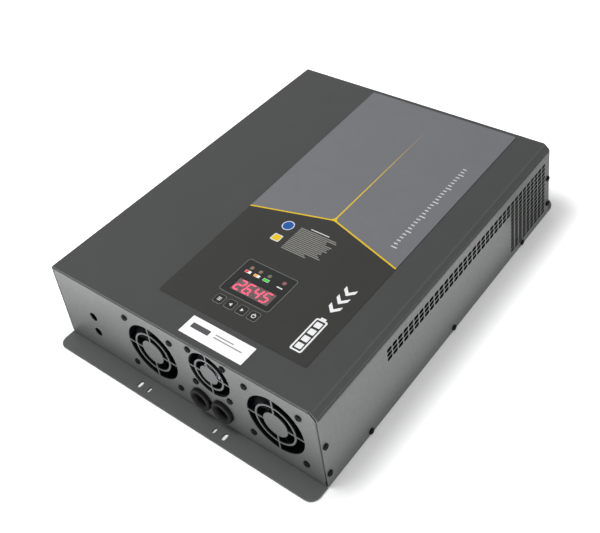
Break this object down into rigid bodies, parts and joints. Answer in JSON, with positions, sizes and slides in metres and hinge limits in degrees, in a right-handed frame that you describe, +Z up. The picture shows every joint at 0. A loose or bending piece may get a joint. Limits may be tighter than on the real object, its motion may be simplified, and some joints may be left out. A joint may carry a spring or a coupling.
{
  "type": "forklift battery charger",
  "caption": "Flat sheet-steel battery charger with guarded fans and cable grommets in its front face, side vents, mounting flanges, and a printed panel with display and keys.",
  "frame": {"origin": "middle of the base plate's underside", "axes": "+X to the right when looking at the fan face, +Y from the fan face to the back, +Z up"},
  "size_m": [0.405, 0.541, 0.1127],
  "materials": {
    "grey_powder_coat": "semi-gloss powder coat, dark grey",
    "black_screw_steel": "black oxide",
    "black_rubber": "moulded",
    "black_plastic": "moulded",
    "overlay_film": "printed polyester film, satin",
    "green_board": "solder mask",
    "display_red": "tinted",
    "key_plunger": "moulded",
    "nylon": "moulded",
    "brass": "turned",
    "aluminium": "extruded",
    "ferrite": "sintered",
    "copper_winding": "enamelled wire",
    "capacitor_sleeve": "shrink sleeve",
    "filter_can": "pressed can",
    "terminal_grey": "moulded"
  },
  "bodies": {
    "case": {"base_plate": "grey_powder_coat", "front_panel": "grey_powder_coat", "rear_panel": "grey_powder_coat", "top_cover": "grey_powder_coat", "cover_screw_right_1": "black_screw_steel", "cover_screw_right_2": "black_screw_steel", "cover_screw_right_3": "black_screw_steel", "cover_screw_right_4": "black_screw_steel", "cover_screw_right_5": "black_screw_steel", "cover_screw_right_6": "black_screw_steel", "cover_screw_right_7": "black_screw_steel", "cover_screw_left_1": "black_screw_steel", "cover_screw_left_2": "black_screw_steel", "cover_screw_left_3": "black_screw_steel", "cover_screw_left_4": "black_screw_steel", "cover_screw_left_5": "black_screw_steel", "cover_screw_left_6": "black_screw_steel", "cover_screw_left_7": "black_screw_steel", "cable_grommet_left": "black_rubber", "cable_grommet_right": "black_rubber", "fan_frame_left": "black_plastic", "fan_frame_centre": "black_plastic", "fan_frame_right": "black_plastic", "membrane_overlay": "overlay_film", "display_board": "green_board", "seven_segment_display": "display_red", "switch_body_1": "black_plastic", "switch_body_2": "black_plastic", "switch_body_3": "black_plastic", "switch_body_4": "black_plastic", "display_spacer_1": "nylon", "display_spacer_2": "nylon", "display_spacer_3": "nylon", "display_spacer_4": "nylon", "power_board": "green_board", "board_standoff_1": "brass", "board_standoff_2": "brass", "board_standoff_3": "brass", "board_standoff_4": "brass", "heatsink_left": "aluminium", "heatsink_right": "aluminium", "transformer_core": "ferrite", "transformer_winding": "copper_winding", "output_choke": "copper_winding", "bulk_capacitor_1": "capacitor_sleeve", "bulk_capacitor_2": "capacitor_sleeve", "bulk_capacitor_3": "capacitor_sleeve", "output_relay": "black_plastic", "fuse_holder": "black_plastic", "line_filter": "filter_can", "terminal_block_mains": "terminal_grey", "terminal_block_battery": "terminal_grey"},
    "left_rotor": {"fan_rotor_left": "black_plastic"},
    "centre_rotor": {"fan_rotor_centre": "black_plastic"},
    "right_rotor": {"fan_rotor_right": "black_plastic"},
    "key_1": {"key_plunger_1": "key_plunger"},
    "key_2": {"key_plunger_2": "key_plunger"},
    "key_3": {"key_plunger_3": "key_plunger"},
    "key_4": {"key_plunger_4": "key_plunger"}
  },
  "joints": [
    {"name": "left_fan_spin", "type": "hinge", "parent": "case", "child": "left_rotor", "pos_m": [-0.0396, -0.235, 0.0587], "axis": [0, 1, 0], "continuous": true},
    {"name": "centre_fan_spin", "type": "hinge", "parent": "case", "child": "centre_rotor", "pos_m": [0.0515, -0.235, 0.0781], "axis": [0, 1, 0], "continuous": true},
    {"name": "right_fan_spin", "type": "hinge", "parent": "case", "child": "right_rotor", "pos_m": [0.1404, -0.235, 0.0587], "axis": [0, 1, 0], "continuous": true},
    {"name": "key_1_press", "type": "slide", "parent": "case", "child": "key_1", "axis": [0, 0, -1], "range_m": [0, 0.00025], "stiffness_N_per_m": 2000},
    {"name": "key_2_press", "type": "slide", "parent": "case", "child": "key_2", "axis": [0, 0, -1], "range_m": [0, 0.00025], "stiffness_N_per_m": 2000},
    {"name": "key_3_press", "type": "slide", "parent": "case", "child": "key_3", "axis": [0, 0, -1], "range_m": [0, 0.00025], "stiffness_N_per_m": 2000},
    {"name": "key_4_press", "type": "slide", "parent": "case", "child": "key_4", "axis": [0, 0, -1], "range_m": [0, 0.00025], "stiffness_N_per_m": 2000}
  ]
}
